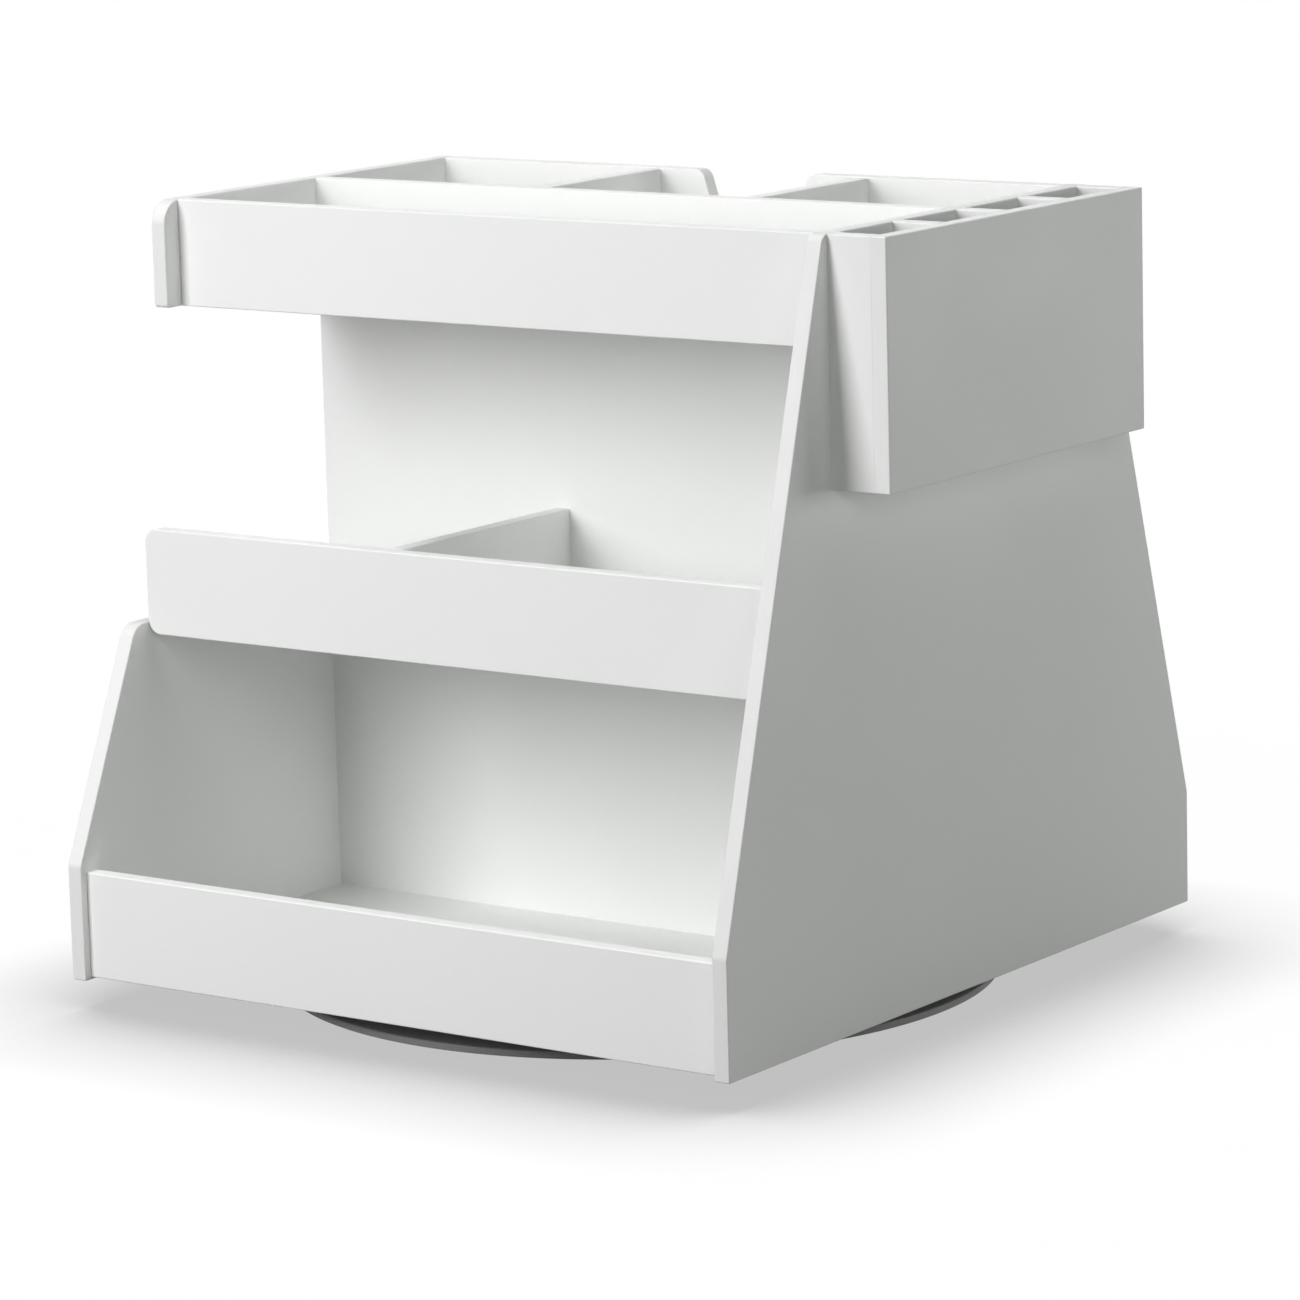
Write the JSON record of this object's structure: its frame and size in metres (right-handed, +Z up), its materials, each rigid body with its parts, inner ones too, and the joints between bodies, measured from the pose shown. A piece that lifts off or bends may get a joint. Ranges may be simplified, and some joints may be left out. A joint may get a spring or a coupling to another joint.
{
  "type": "rotating desk organizer",
  "caption": "Two-sided desk rack of white sheet boards with open bays, lips, a divided top tray and a side pen box, turning on a ball-bearing disc base.",
  "frame": {"origin": "on the spin axis, at the surface that the base stands on", "axes": "+Z up along the spin axis, -Y to the front, +X to the side with the pen box"},
  "size_m": [0.3545, 0.343, 0.3265],
  "materials": {
    "white_board": "satin, eased edges",
    "base_plastic": "fine matte",
    "ring_rubber": "matte",
    "bearing_steel": "zinc plated",
    "ball_steel": "polished",
    "cage_plastic": "moulded",
    "screw_steel": "zinc plated"
  },
  "bodies": {
    "base": {"base_disc": "base_plastic", "anti_slip_ring": "ring_rubber", "bearing_lower_plate": "bearing_steel", "lower_plate_screws": "screw_steel", "pivot_rivet": "screw_steel"},
    "organizer": {"bearing_upper_plate": "bearing_steel", "upper_plate_screws": "screw_steel", "bottom_board": "white_board", "bottom_lip_front": "white_board", "bottom_lip_back": "white_board", "left_lower_panel": "white_board", "right_side_panel": "white_board", "centre_wall": "white_board", "middle_shelf_front": "white_board", "middle_shelf_back": "white_board", "middle_lip_front": "white_board", "middle_lip_back": "white_board", "middle_divider_front": "white_board", "middle_divider_back": "white_board", "tray_floor_front": "white_board", "tray_floor_back": "white_board", "tray_lip_front": "white_board", "tray_back_panel": "white_board", "tray_left_panel": "white_board", "tray_divider_left": "white_board", "tray_divider_right": "white_board", "pen_box_outer_wall": "white_board", "pen_box_front_wall": "white_board", "pen_box_back_wall": "white_board", "pen_box_floor": "white_board", "pen_box_divider_1": "white_board", "pen_box_divider_2": "white_board", "pen_box_divider_3": "white_board"},
    "cage": {"ball_cage": "cage_plastic", "bearing_balls": "ball_steel"}
  },
  "joints": [
    {"name": "organizer_spin", "type": "hinge", "parent": "base", "child": "organizer", "pos_m": [0, 0, 0.0085], "axis": [0, 0, 1], "continuous": true},
    {"name": "cage_spin", "type": "hinge", "parent": "base", "child": "cage", "pos_m": [0, 0, 0.0085], "axis": [0, 0, 1], "continuous": true}
  ],
  "couplings": [
    {"joint": "cage_spin", "follows": "organizer_spin", "ratio": 0.5}
  ]
}
